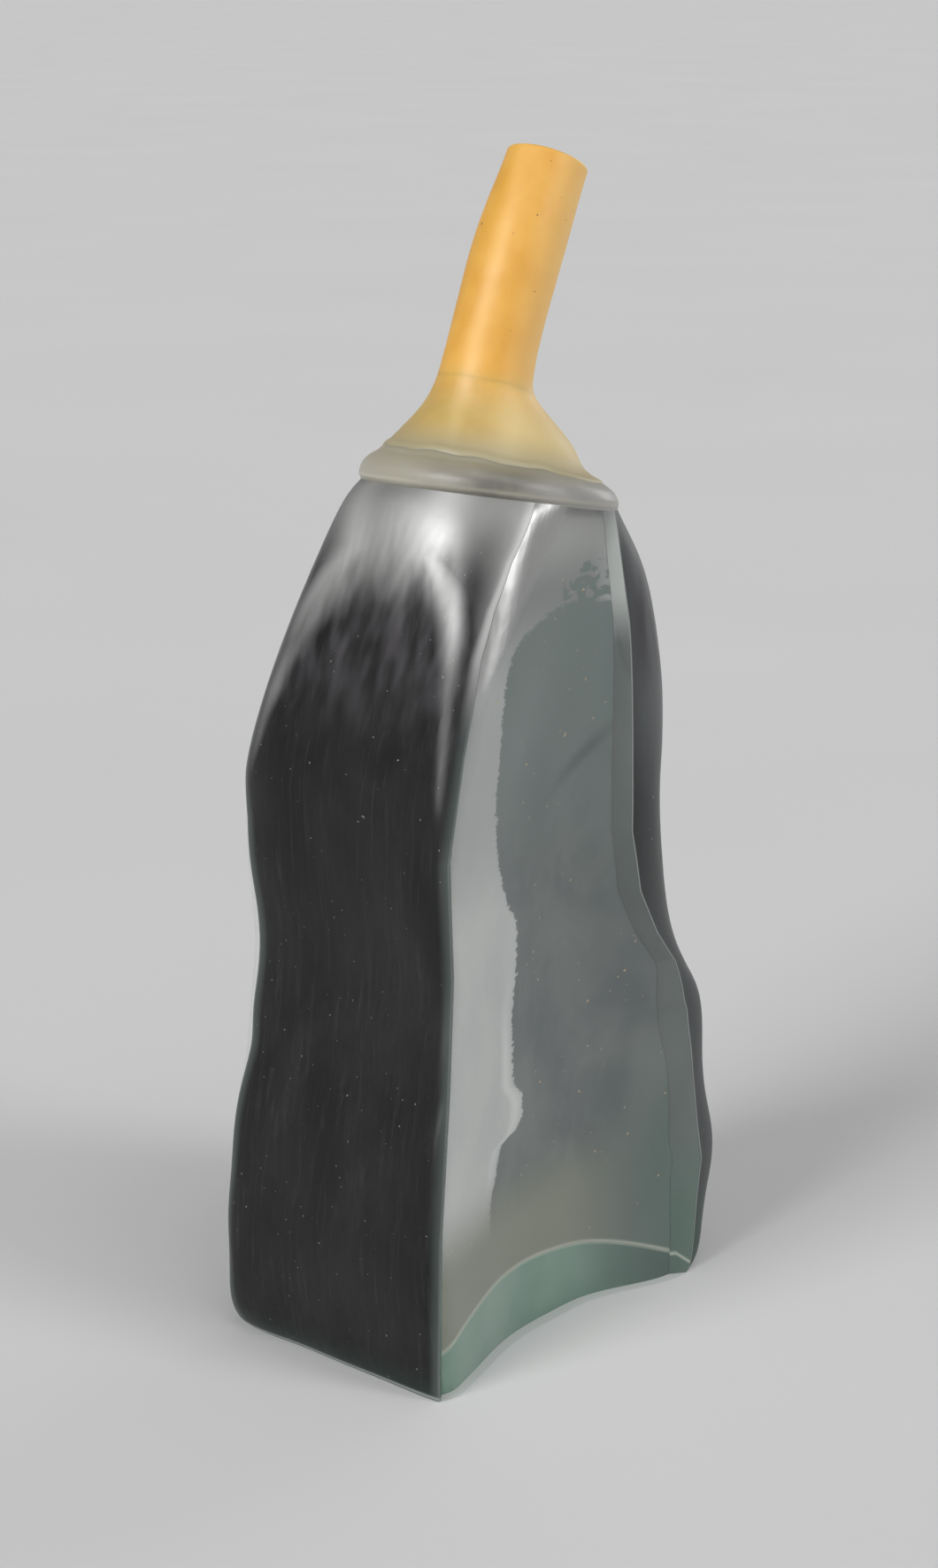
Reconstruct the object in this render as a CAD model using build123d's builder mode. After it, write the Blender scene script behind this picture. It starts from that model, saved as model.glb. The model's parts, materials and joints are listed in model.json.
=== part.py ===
"""A bent-neck studio-glass bottle, about 420 mm tall, made of separately worked glasses joined hot.

Frame: +Z up, z = 0 on the table, X along the broad side, front at -Y, origin at the middle of the foot.
The neck leans towards +X. All lengths are millimetres and all angles are degrees.
"""

import os
from math import atan2, cos, degrees, radians, sin
from typing import NamedTuple

from build123d import *

# Driving dimensions
WALL = 6.0  # body wall, lining included
LINING = 1.5  # smoke-grey inner bubble
FLOOR_TOP_X, FLOOR_TOP_Z = -12.0, 25.5  # highest line of the arched foot inside the bottle
FLOOR_ARCH_RADIUS = 180.0
WINDOW_DISH = 13.5  # how far the middle of the front is pressed in
BACK_DISH = 9.0

COLLAR_X, COLLAR_Z = 12.0, 298.0  # centre of the circle where the body ends
COLLAR_TILT = 11.0
COLLAR_RADIUS = 45.0
COLLAR_LIP = 0.5  # how far the collar stands proud of the body

NECK_ROOT_X, NECK_ROOT_Z = 9.2, 336.5
NECK_ROOT_TILT = 18.5
NECK_TIP_TILT = 29.5
NECK_BEND_RADIUS = 340.0
NECK_STRAIGHT = 18.0
BORE_RADIUS = 8.5
MOUTH_ROUNDING = 1.6
FAR = 150.0  # reaches past the body in plan


class Station(NamedTuple):
    """One level of the body: its four corners before rounding, and how round it has become."""

    z: float
    front_left: float
    back_left: float
    front_right: float
    front: float
    back: float
    dish: float  # share of the full dish
    left_radius: float
    right_radius: float
    roundness: float  # 0 is a rectangle with dished long sides, 1 is a circle
    tilt: float


STATIONS = [
    Station(0, -74.6, -69.5, 78.5, -50.3, 47.5, 1.0, 4.0, 12.0, 0.0, 0),
    Station(4, -76.0, -73.0, 82.5, -50.7, 49.5, 1.0, 4.5, 12.0, 0.0, 0),
    Station(21, -77.8, -76.6, 86.6, -50.7, 50.2, 1.0, 4.5, 12.0, 0.0, 0),
    Station(42, -81.8, -76.8, 91.5, -50.7, 50.2, 1.0, 4.5, 12.0, 0.0, 0),
    Station(67, -79.4, -74.0, 86.8, -50.7, 50.2, 0.96, 4.5, 12.0, 0.0, 0),
    Station(92, -76.0, -69.5, 84.0, -50.5, 50.0, 0.9, 4.5, 12.0, 0.0, 0),
    Station(116, -71.8, -64.6, 77.0, -50.4, 49.8, 0.84, 4.5, 12.5, 0.0, 0),
    Station(132, -69.5, -62.6, 66.8, -50.2, 49.6, 0.8, 5.0, 13.0, 0.0, 0),
    Station(148, -68.4, -61.4, 61.4, -50.0, 49.5, 0.76, 5.0, 13.5, 0.0, 0),
    Station(166, -70.6, -63.4, 58.4, -50.0, 49.5, 0.72, 5.5, 14.0, 0.0, 0),
    Station(184, -70.2, -65.6, 56.6, -50.0, 49.5, 0.68, 7.0, 14.0, 0.0, 0),
    Station(200, -69.2, -66.8, 56.8, -50.0, 49.5, 0.64, 9.0, 14.0, 0.0, 0),
    Station(216, -66.4, -65.0, 58.2, -50.0, 49.5, 0.56, 12.0, 15.0, 0.0, 1),
    Station(232, -62.0, -60.8, 59.9, -50.0, 49.5, 0.46, 15.0, 16.0, 0.05, 3),
    Station(250, -56.0, -56.2, 62.2, -49.6, 49.0, 0.32, 18.0, 18.0, 0.15, 5),
    Station(267, -50.5, -51.0, 65.0, -48.8, 48.4, 0.2, 20.0, 20.0, 0.3, 7),
    Station(284, -47.5, -48.0, 66.5, -47.2, 46.8, 0.1, 23.0, 22.0, 0.55, 9.5),
    Station(COLLAR_Z, -36.0, -36.0, 56.0, -44.5, 44.5, 0.0, 24.0, 24.0, 1.0, COLLAR_TILT),
]

# Circles up the collar and the cone: (x, z, radius, tilt, radius of the hollow)
COLLAR_LEVELS = [
    (COLLAR_X, COLLAR_Z, COLLAR_RADIUS + COLLAR_LIP, COLLAR_TILT, COLLAR_RADIUS - WALL),
    (10.8, 303.2, 42.9, 10.5, 36.9),
    (10.8, 309.0, 38.0, 10.0, 32.0),
]
CONE_LEVELS = [
    COLLAR_LEVELS[-1],
    (10.4, 316.0, 32.0, 9.5, 25.9),
    (10.8, 323.5, 25.4, 10.0, 19.2),
    (10.2, 330.5, 19.8, 12.5, 13.0),
    (NECK_ROOT_X, NECK_ROOT_Z, 16.5, NECK_ROOT_TILT, BORE_RADIUS),
]
# Radii of the neck at even steps from its root to its tip: hand-blown, so not quite even
NECK_RADII = [16.5, 15.7, 15.8, 15.8, 15.1, 14.5]

# The pressed-in long sides, from left to right: (share of the flat between the corners, share of the dish)
FRONT_PROFILE = [
    (0.08, 0.1),
    (0.19, 0.42),
    (0.31, 0.77),
    (0.45, 0.98),
    (0.58, 1.0),
    (0.7, 0.93),
    (0.8, 0.6),
    (0.89, 0.2),
]
BACK_PROFILE = [(0.1, 0.12), (0.22, 0.5), (0.36, 0.86), (0.5, 1.0), (0.64, 0.86), (0.78, 0.5), (0.9, 0.12)]
NARROW_SIDE_SHARES = (0.25, 0.5, 0.75)

# Where the narrow sides meet the windows: (height, angle from the X axis seen from the body's middle)
LEFT_JOINT = [
    (-5, 33.0),
    (60, 33.4),
    (110, 35.0),
    (150, 35.8),
    (190, 35.0),
    (225, 37.0),
    (255, 39.4),
    (270, 42.5),
    (284, 47.5),
    (312, 64.0),
]
RIGHT_JOINT = [
    (-5, 36.5),
    (44, 34.0),
    (80, 36.5),
    (105, 37.5),
    (126, 41.5),
    (140, 47.5),
    (157, 53.0),
    (180, 56.5),
    (223, 59.0),
    (255, 62.0),
    (280, 66.0),
    (312, 70.0),
]


def corner(x, y, radius, facing):
    """Three points on the round of the corner at (x, y); the middle one looks along the angle facing."""
    centre_x = x - radius * (1 if cos(radians(facing)) > 0 else -1)
    centre_y = y - radius * (1 if sin(radians(facing)) > 0 else -1)
    angles = [radians(facing + turn) for turn in (-45, 0, 45)]
    return [(centre_x + radius * cos(a), centre_y + radius * sin(a)) for a in angles]


def side(start, end, shares):
    """Points between the ends of two rounds, at (share of the way, offset in y)."""
    return [
        (start[0] + share * (end[0] - start[0]), start[1] + share * (end[1] - start[1]) + offset)
        for share, offset in shares
    ]


def centre_x(z):
    """The middle of the body at a height: it leans to the collar near the top."""
    lean = max(0.0, (z - 200.0) / (COLLAR_Z - 200.0))
    return COLLAR_X * lean


def outline(station, inset):
    """The closed outline of the body at a station, drawn inwards by inset, anticlockwise from the front left."""
    s = station
    left_radius = max(s.left_radius - inset, 2.5)
    right_radius = max(s.right_radius - inset, 2.5)
    left, right = s.front_left + inset, s.front_right - inset
    front, back = s.front + inset, s.back - inset
    front_left = corner(left, front, left_radius, 225)
    front_right = corner(right, front, right_radius, 315)
    back_right = corner(right - 2.0, back, right_radius, 45)
    back_left = corner(s.back_left + inset, back, left_radius, 135)
    front_dish = [(share, WINDOW_DISH * s.dish * depth) for share, depth in FRONT_PROFILE]
    back_dish = [(share, -BACK_DISH * s.dish * depth) for share, depth in BACK_PROFILE]
    straight = [(share, 0.0) for share in NARROW_SIDE_SHARES]
    points = front_left + side(front_left[-1], front_right[0], front_dish)
    points += front_right + side(front_right[-1], back_right[0], straight)
    points += back_right + side(back_right[-1], back_left[0], back_dish)
    points += back_left + side(back_left[-1], front_left[0], straight)

    middle = centre_x(s.z)
    radius = COLLAR_RADIUS - inset
    half_length = (s.front_right - s.front_left) / 2
    half_depth = (s.back - s.front) / 2
    rounded = []
    for x, y in points:
        angle = atan2(y / half_depth, (x - middle) / half_length)
        circle_x = middle + radius * cos(angle)
        circle_y = radius * sin(angle)
        rounded.append((x + s.roundness * (circle_x - x), y + s.roundness * (circle_y - y)))
    return rounded


def station_plane(station):
    tilt = radians(station.tilt)
    return Plane(
        origin=(centre_x(station.z), 0, station.z),
        x_dir=(cos(tilt), 0, -sin(tilt)),
        z_dir=(sin(tilt), 0, cos(tilt)),
    )


def body_sketch(station, inset):
    """The outline as a sketch in the station's own, slightly tilted plane."""
    middle = centre_x(station.z)
    with BuildSketch(station_plane(station)) as sketch:
        with BuildLine():
            Spline([(x - middle, y) for x, y in outline(station, inset)], periodic=True)
        make_face()
    return sketch.sketch


def body_loft(inset):
    return loft([body_sketch(station, inset) for station in STATIONS])


def joint_region(joint_angles, towards_x):
    """The space on one side of the vertical joints between a narrow side and the two windows.

    Seen from above, both joints are rays from the body's middle; the angle of each from X changes with height.
    """
    sections = []
    for z, angle in joint_angles:
        turn = radians(angle)
        ray = (towards_x * FAR * cos(turn), FAR * sin(turn))
        middle = centre_x(z)
        with BuildSketch(Plane.XY.offset(z)) as sketch:
            with BuildLine():
                Polyline(
                    (middle, 0),
                    (middle + ray[0], -ray[1]),
                    (towards_x * FAR, -FAR),
                    (towards_x * FAR, FAR),
                    (middle + ray[0], ray[1]),
                    close=True,
                )
            make_face()
        sections.append(sketch.sketch)
    return loft(sections, ruled=True)


def tilted_circle(x, z, radius, tilt):
    turn = radians(tilt)
    plane = Plane(origin=(x, 0, z), x_dir=(cos(turn), 0, -sin(turn)), z_dir=(sin(turn), 0, cos(turn)))
    with BuildSketch(plane) as disc:
        Circle(radius)
    return disc.sketch


def hollow_loft(levels):
    """A wall between two lofts through the same tilted levels, added to the open part."""
    loft([tilted_circle(x, z, radius, tilt) for x, z, radius, tilt, _ in levels])
    loft([tilted_circle(x, z, hollow, tilt) for x, z, _, tilt, hollow in levels], mode=Mode.SUBTRACT)


def foot_form(above):
    """A cylinder along Y whose upper side is the arched top of the foot, raised by above."""
    radius = FLOOR_ARCH_RADIUS + above
    middle = Pos(FLOOR_TOP_X, 0, FLOOR_TOP_Z - FLOOR_ARCH_RADIUS)
    with BuildPart(middle) as cylinder:
        Cylinder(radius, 2 * FAR, rotation=(90, 0, 0))
    return cylinder.part


# Shapes that several pieces share
outer_form = body_loft(0)
lining_form = body_loft(WALL - LINING)
cavity_form = body_loft(WALL)
left_region = joint_region(LEFT_JOINT, -1)
right_region = joint_region(RIGHT_JOINT, 1)

with BuildPart() as body_wall:
    add(outer_form)
    add(lining_form, mode=Mode.SUBTRACT)

with BuildPart() as left_side_casing:
    add(body_wall.part)
    add(left_region, mode=Mode.INTERSECT)

with BuildPart() as right_side_casing:
    add(body_wall.part)
    add(right_region, mode=Mode.INTERSECT)

with BuildPart() as base_slab:
    add(lining_form)
    add(foot_form(0), mode=Mode.INTERSECT)

with BuildPart() as windows:
    add(body_wall.part)
    add(left_region, mode=Mode.SUBTRACT)
    add(right_region, mode=Mode.SUBTRACT)

with BuildPart() as front_window:
    add(windows.part)
    split(bisect_by=Plane.XZ, keep=Keep.TOP)

with BuildPart() as back_window:
    add(windows.part)
    split(bisect_by=Plane.XZ, keep=Keep.BOTTOM)

with BuildPart() as hollow:
    add(cavity_form)
    add(foot_form(LINING), mode=Mode.SUBTRACT)

with BuildPart() as smoke_lining:
    add(lining_form)
    add(foot_form(0), mode=Mode.SUBTRACT)
    add(hollow.part, mode=Mode.SUBTRACT)

with BuildPart() as shoulder_collar:
    hollow_loft(COLLAR_LEVELS)

with BuildPart() as neck_cone:
    hollow_loft(CONE_LEVELS)

root_turn = radians(NECK_ROOT_TILT)
with BuildLine(Plane.XZ) as neck_path:
    bend = JernArc(
        start=(NECK_ROOT_X, NECK_ROOT_Z),
        tangent=(sin(root_turn), cos(root_turn)),
        radius=NECK_BEND_RADIUS,
        arc_size=NECK_ROOT_TILT - NECK_TIP_TILT,
    )
    Line(bend @ 1, (bend @ 1) + (bend % 1) * NECK_STRAIGHT)
print("mouth at", neck_path.line @ 1, "facing", neck_path.line % 1)

with BuildPart() as neck_tube:
    levels = []
    for step, radius in enumerate(NECK_RADII):
        share = step / (len(NECK_RADII) - 1)
        point, heading = neck_path.line @ share, neck_path.line % share
        levels.append(tilted_circle(point.X, point.Z, radius, degrees(atan2(heading.X, heading.Z))))
    loft(levels)
    fillet(neck_tube.edges().sort_by(Axis.Z)[-1], MOUTH_ROUNDING)
    with BuildSketch(Plane(origin=neck_path.line @ 0, z_dir=neck_path.line % 0)):
        Circle(BORE_RADIUS)
    sweep(path=neck_path.line, mode=Mode.SUBTRACT)

PIECES = {
    "base_slab": base_slab,
    "front_window": front_window,
    "back_window": back_window,
    "left_side_casing": left_side_casing,
    "right_side_casing": right_side_casing,
    "smoke_lining": smoke_lining,
    "shoulder_collar": shoulder_collar,
    "neck_cone": neck_cone,
    "neck_tube": neck_tube,
}
os.makedirs("parts", exist_ok=True)
for name, piece in PIECES.items():
    piece.part.label = name
    export_step(piece.part, f"parts/{name}.step")
    print(name, len(piece.part.solids()), round(piece.part.volume), piece.part.is_valid)
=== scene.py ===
"""Looks for the bent-neck studio-glass bottle.

The walls, the lining, the collar, the cone and the neck are made again as fine grids by casting rays at the
CAD nodes, so that they can carry the small waves and grain of hand-worked glass. The foot stays a CAD node
with a glass material. Lengths are metres unless a name says mm; positions and sizes in materials are mm.
"""

import json
import math

import bpy
import numpy as np
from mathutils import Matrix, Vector, noise
from mathutils.bvhtree import BVHTree


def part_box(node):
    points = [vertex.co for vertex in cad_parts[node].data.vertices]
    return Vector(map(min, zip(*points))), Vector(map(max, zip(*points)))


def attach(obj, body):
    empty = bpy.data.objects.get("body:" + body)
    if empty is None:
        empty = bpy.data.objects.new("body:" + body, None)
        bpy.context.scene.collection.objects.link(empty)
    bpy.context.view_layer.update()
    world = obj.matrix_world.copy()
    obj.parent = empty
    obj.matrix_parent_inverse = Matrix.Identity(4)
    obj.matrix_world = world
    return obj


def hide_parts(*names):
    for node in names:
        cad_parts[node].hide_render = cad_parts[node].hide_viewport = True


MM = 0.001
REACH = 0.2  # rays start this far from the middle line, outside everything

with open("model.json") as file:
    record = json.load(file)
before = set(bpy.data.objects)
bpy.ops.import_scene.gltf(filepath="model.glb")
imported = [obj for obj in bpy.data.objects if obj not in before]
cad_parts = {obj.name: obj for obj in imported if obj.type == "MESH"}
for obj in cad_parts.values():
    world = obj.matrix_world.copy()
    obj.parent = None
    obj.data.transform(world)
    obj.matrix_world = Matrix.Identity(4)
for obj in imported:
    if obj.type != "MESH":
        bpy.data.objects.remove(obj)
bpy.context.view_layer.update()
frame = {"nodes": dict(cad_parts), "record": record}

# ---------------------------------------------------------------- the frame's own measures
COLLAR_TILT = math.radians(11.0)
CONE_TILT = math.radians(10.0)
NECK_ROOT_TILT = math.radians(18.5)
COLLAR_RADIUS_MM = 45.0
NECK_RADIUS = 16.5 * MM
LEAN_START = 200 * MM  # the body's middle line leans to the collar above this height

collar_lo, collar_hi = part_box("shoulder_collar")
neck_lo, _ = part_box("neck_tube")
mouth = next(m for m in frame["record"]["mounts"] if m["name"] == "mouth")
mouth_axis = Vector(mouth["axis"])
MOUTH_TILT = math.atan2(mouth_axis.x, mouth_axis.z)
mouth_centre = Vector(mouth["pos_m"]) + mouth_axis * (mouth["dims"]["length_mm"] * MM / 2)
collar_rise = COLLAR_RADIUS_MM * MM * math.sin(COLLAR_TILT)
collar_centre = Vector(((collar_lo.x + collar_hi.x) / 2, 0, collar_lo.z + collar_rise))


def cad_tree(*names):
    """A ray-cast tree over some CAD nodes, and the node that each of its faces belongs to."""
    points, faces, owners = [], [], []
    for name in names:
        mesh = frame["nodes"][name].data
        start = len(points)
        points += [v.co.copy() for v in mesh.vertices]
        faces += [[start + i for i in p.vertices] for p in mesh.polygons]
        owners += [name] * len(mesh.polygons)
    return BVHTree.FromPolygons(points, faces), owners


def body_middle(z):
    lean = max(0.0, (z - LEAN_START) / (collar_centre.z - LEAN_START))
    return collar_centre.x * lean


# ---------------------------------------------------------------- meshes
def shell(name, outer, inner, ring, sharp_deg=40):
    """A closed wall between two grids of points; ring joins the last column to the first.

    Without ring, the faces of the two upright ends go last and take the second material slot.
    """
    rows, cols = outer.shape[:2]
    count = rows * cols
    points = np.concatenate([outer.reshape(-1, 3), inner.reshape(-1, 3)])
    last = cols if ring else cols - 1
    index = np.arange(count).reshape(rows, cols)
    across = np.roll(index, -1, axis=1)[:, :last]
    here = index[:, :last]
    skin = np.stack([here[:-1], across[:-1], across[1:], here[1:]], -1).reshape(-1, 4)
    faces = [skin, skin[:, ::-1] + count]
    bottom = np.stack([across[0], here[0], here[0] + count, across[0] + count], -1)
    top = np.stack([here[-1], across[-1], across[-1] + count, here[-1] + count], -1)
    faces += [bottom, top]
    if not ring:
        left, right = index[:, 0], index[:, -1]
        faces.append(np.stack([left[:-1], left[1:], left[1:] + count, left[:-1] + count], -1))
        faces.append(np.stack([right[1:], right[:-1], right[:-1] + count, right[1:] + count], -1))
    mesh = bpy.data.meshes.new(name)
    mesh.from_pydata(points.tolist(), [], np.concatenate(faces).tolist())
    mesh.polygons.foreach_set("use_smooth", [True] * len(mesh.polygons))
    if not ring:
        end_faces = 2 * (rows - 1)
        plain_faces = len(mesh.polygons) - end_faces
        mesh.polygons.foreach_set("material_index", [0] * plain_faces + [1] * end_faces)
    mesh.update()
    mesh.set_sharp_from_angle(angle=math.radians(sharp_deg))
    piece = bpy.data.objects.new(name, mesh)
    bpy.context.scene.collection.objects.link(piece)
    return piece


def place(piece, node, slot, *materials):
    """Gives a piece its materials and puts it in the place of a CAD node."""
    for material in materials:
        piece.data.materials.append(material)
    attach(piece, "root")
    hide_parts(node)


def grid_normals(grid, ring):
    """Unit normals of a grid of points, rows upward and columns anticlockwise."""
    up = np.gradient(grid, axis=0)
    if ring:
        round_ = np.roll(grid, -1, 1) - np.roll(grid, 1, 1)
    else:
        round_ = np.gradient(grid, axis=1)
    normal = np.cross(round_, up)
    return normal / np.maximum(np.linalg.norm(normal, axis=-1, keepdims=True), 1e-12)


def noise_grid(grid, scale, stretch=(1, 1, 1), offset=0.0):
    """Smooth noise in -1..1 at each point of a grid; scale is the size of its features in metres."""
    flat = grid.reshape(-1, 3) / scale / np.array(stretch) + offset
    return np.array([noise.noise(p) for p in flat.tolist()]).reshape(grid.shape[:2])


# ---------------------------------------------------------------- the body's walls
WALL_NODES = ("front_window", "right_side_casing", "back_window", "left_side_casing")
wall_tree, wall_owner = cad_tree(*WALL_NODES)
lining_tree, _ = cad_tree("smoke_lining", "base_slab")
ROWS = 250
BOTTOM_SHARE, TOP_SHARE = 0.0006, 0.9996  # of the height to the collar
SECTORS = {  # node: (angle of its middle in degrees, columns)
    "front_window": (-90.0, 150),
    "right_side_casing": (0.0, 120),
    "back_window": (90.0, 130),
    "left_side_casing": (180.0, 130),
}
DEEPEST_WALL = 14 * MM  # a level ray that misses the lining's rim would land further away
HALVINGS = 14  # steps that close in on the angle of a joint
JOINT_MARGIN = 1e-4  # radians kept clear of a joint
SLIPS, SLIP_TURN, SLIP_DOWN = 200, 1e-5, 1e-6  # tries, radians and share of the height
GAP = 0.12 * MM  # hairline where a window's edge meets the satin casing
INNER_SHIFT = 0.1 * MM  # a casing's inner side is this far off the lining, and a window's is this far in it
SLOW_WAVE_MM, QUICK_WAVE_MM = 0.28, 0.06
TOP_FADE = 12  # the waves fade out over the top twelfth of the rows
GRAIN_MM, GRAIN_PITCH_MM, GRAIN_FADE_MM = 0.022, 2.6, 12.0
SEAM_MM, SEAM_WIDTH_MM = 0.22, 0.9  # the ridge where casing meets window
SEAM_TOP, SEAM_FADE = 265 * MM, 45 * MM


def top_height(angle, radius_mm=COLLAR_RADIUS_MM):
    """Where the collar's tilted lower plane cuts the body, or a smaller circle in it, at an angle."""
    return collar_centre.z - math.sin(COLLAR_TILT) * math.cos(angle) * radius_mm * MM


def level_hit(tree, angle, z):
    """Where a level ray from outside, aimed at the body's middle, first meets the tree."""
    out = Vector((math.cos(angle), math.sin(angle), 0))
    return tree.ray_cast(Vector((body_middle(z), 0, z)) + out * REACH, -out)


def wall_hit(tree, angle, share):
    """The same at a share of the body's height at that angle."""
    return level_hit(tree, angle, share * top_height(angle))


def sure_wall_hit(angle, share):
    """Where the wall is met; a ray that slips between two faces is turned and lowered by a hair."""
    for slip in range(SLIPS):
        spot = wall_hit(wall_tree, angle + slip * SLIP_TURN, share - slip * SLIP_DOWN)[0]
        if spot is not None:
            return spot
    raise RuntimeError("no wall at this angle")


def joint_angle(node, inside, outside, share):
    """Angle at which a wall node ends, between one angle that meets it and one that doesn't."""
    for _ in range(HALVINGS):
        middle = (inside + outside) / 2
        _, _, face, _ = wall_hit(wall_tree, middle, share)
        if face is not None and wall_owner[face] == node:
            inside = middle
        else:
            outside = middle
    return (inside + outside) / 2


def even_angles(start, end, share, columns):
    """Angles from start to end that are evenly spaced along the wall."""
    trial = np.linspace(start, end, columns * 2)
    points = np.array([sure_wall_hit(a, share) for a in trial])
    length = np.concatenate([[0], np.cumsum(np.linalg.norm(np.diff(points, axis=0), axis=1))])
    return np.interp(np.linspace(0, length[-1], columns), length, trial)


def wall_grids(node):
    """A wall's outer and inner side as grids of points, rows upward and columns anticlockwise."""
    middle_deg, columns = SECTORS[node]
    middle = math.radians(middle_deg)
    quarter = math.radians(90)
    outer, inner = np.zeros((ROWS, columns, 3)), np.zeros((ROWS, columns, 3))
    shares = np.linspace(BOTTOM_SHARE, TOP_SHARE, ROWS)
    starts = np.array([joint_angle(node, middle, middle - quarter, s) for s in shares])
    ends = np.array([joint_angle(node, middle, middle + quarter, s) for s in shares])
    for row, share in enumerate(shares):
        angles = even_angles(starts[row] + JOINT_MARGIN, ends[row] - JOINT_MARGIN, share, columns)
        for column, angle in enumerate(angles):
            outer[row, column] = sure_wall_hit(angle, share)
            spot = wall_hit(lining_tree, angle, share)[0]
            if spot is None or np.linalg.norm(outer[row, column] - spot) > DEEPEST_WALL:
                inner[row, column] = outer[row, column] + inner[row - 1, column] - outer[row - 1, column]
            else:
                inner[row, column] = spot
    return outer, inner


def bell(value, middle, width):
    """1 at the middle, and almost 0 two widths away."""
    return np.exp(-(((value - middle) / width) ** 2))


def body_relief(grid):
    """Height of the hand-worked waves over the body, in metres."""
    slow = noise_grid(grid, 42 * MM, (1, 1, 1.3), 3.1)
    quick = noise_grid(grid, 15 * MM, (1, 1, 1.6), 8.4)
    return (SLOW_WAVE_MM * slow + QUICK_WAVE_MM * quick) * MM


def grain_relief(grid):
    """Ridges that a wooden mould leaves on the narrow sides, in metres."""
    slow_warp = noise_grid(grid, 38 * MM, (1, 1, 2.2), 5.0) * 5.5
    quick_warp = noise_grid(grid, 9 * MM, (1, 1, 2.0), 1.0) * 0.7
    rings = np.sin((grid[..., 1] / MM / GRAIN_PITCH_MM + (slow_warp + quick_warp)) * math.tau / 1.6)
    patches = 0.5 + 0.5 * noise_grid(grid, 25 * MM, (1, 1, 1.5), 2.0)
    return GRAIN_MM * MM * rings * patches


def from_joint_mm(grid):
    """Distance along the wall from each point to the nearer joint, in mm."""
    steps = np.linalg.norm(np.diff(grid, axis=1), axis=2) / MM
    along = np.concatenate([np.zeros((len(grid), 1)), np.cumsum(steps, axis=1)], axis=1)
    return np.minimum(along, along[:, -1:] - along)


def make_wall(node, slot, materials, grain):
    """One wall; a casing has grain and a seam ridge, and a window is drawn in a hairline at its joints."""
    outer, inner = wall_grids(node)
    normal = grid_normals(outer, ring=False)
    from_joint = from_joint_mm(outer)
    height = body_relief(outer)
    if grain:
        height = height + grain_relief(outer) * np.clip(from_joint / GRAIN_FADE_MM, 0, 1)
        below_shoulder = np.clip((SEAM_TOP - outer[..., 2]) / SEAM_FADE, 0, 1)
        height = height + SEAM_MM * MM * below_shoulder * bell(from_joint, 0.0, SEAM_WIDTH_MM)
    fade_top = np.clip((1 - np.linspace(0, 1, ROWS)) * TOP_FADE, 0, 1)[:, None]
    outer = outer + normal * (height * fade_top)[..., None]
    outer[0, :, 2] = 0.0
    if grain:
        inner = inner + normal * INNER_SHIFT
    else:
        inner = inner - normal * INNER_SHIFT
        along = outer[:, 1] - outer[:, 0]
        step = along / np.linalg.norm(along, axis=1, keepdims=True) * GAP
        back = outer[:, -2] - outer[:, -1]
        step_back = back / np.linalg.norm(back, axis=1, keepdims=True) * GAP
        for grid in (outer, inner):
            grid[:, 0] += step
            grid[:, -1] += step_back
    piece = shell(node + "_glass", outer, inner, ring=False)
    marks = piece.data.attributes.new("from_joint", "FLOAT", "POINT")
    marks.data.foreach_set("value", np.tile(from_joint.ravel(), 2))
    place(piece, node, slot, *materials)


# ---------------------------------------------------------------- the lining
ARCH_X_MM, ARCH_TOP_MM, ARCH_RADIUS_MM = -12.0, 25.5, 180.0  # the foot's arched upper side
LINING_MM, LINING_RIM_MM = 1.5, 40.5  # thickness, and outer radius at the top
LINING_TURNS, LINING_ROWS, FLOOR_RINGS = 400, 220, 14
SEAM_SLIP = 0.05 * MM  # a ray that misses the lining is cast again this much higher or lower
ABOVE_FLOOR, BELOW_RIM = 0.1 * MM, 0.3 * MM  # where the lining's upright rows start and end
INTO_WALL_MM, DEEPEST_LINING = 0.3, 2.2 * MM  # a ray from inside the lining's wall, and how far it looks
bubble_tree, _ = cad_tree("smoke_lining")


def arch_height(x, above_mm=0.0):
    radius = (ARCH_RADIUS_MM + above_mm) * MM
    return (ARCH_TOP_MM - ARCH_RADIUS_MM) * MM + np.sqrt(radius**2 - (x - ARCH_X_MM * MM) ** 2)


def sure_hit(tree, angle, z):
    """A level hit, taken a little higher where the ray slips through a seam, or lower if that never helps."""
    for slip in (*range(SLIPS), *range(-1, -SLIPS, -1)):
        spot = level_hit(tree, angle, z + slip * SEAM_SLIP)[0]
        if spot is not None:
            return spot
    raise RuntimeError("no lining at this height")


def lining_surface(above_mm, rim_radius_mm):
    """The lining's outer or inner side: rings over the arched floor from its middle, then rows upward."""
    wall = np.zeros((LINING_ROWS, LINING_TURNS, 3))
    for turn, angle in enumerate(np.linspace(0, math.tau, LINING_TURNS, endpoint=False)):
        out = Vector((math.cos(angle), math.sin(angle), 0))
        bottom = ARCH_TOP_MM * MM
        for _ in range(6):  # closes in on where the arch meets the wall
            bottom = arch_height(sure_hit(lining_tree, angle, bottom).x, above_mm) + ABOVE_FLOOR
        top = top_height(angle, rim_radius_mm) - BELOW_RIM
        for row, z in enumerate(np.linspace(bottom, top, LINING_ROWS)):
            spot = sure_hit(bubble_tree, angle, z)
            if above_mm:
                deeper = bubble_tree.ray_cast(spot - out * INTO_WALL_MM * MM, -out, DEEPEST_LINING)[0]
                spot = deeper if deeper is not None else spot - out * LINING_MM * MM
            wall[row, turn] = spot
    share = np.linspace(0.002, 1.0, FLOOR_RINGS, endpoint=False)[:, None, None]
    floor_rings = wall[0] * share
    floor_rings[..., 2] = arch_height(floor_rings[..., 0], above_mm)
    return np.concatenate([floor_rings, wall])


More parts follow.
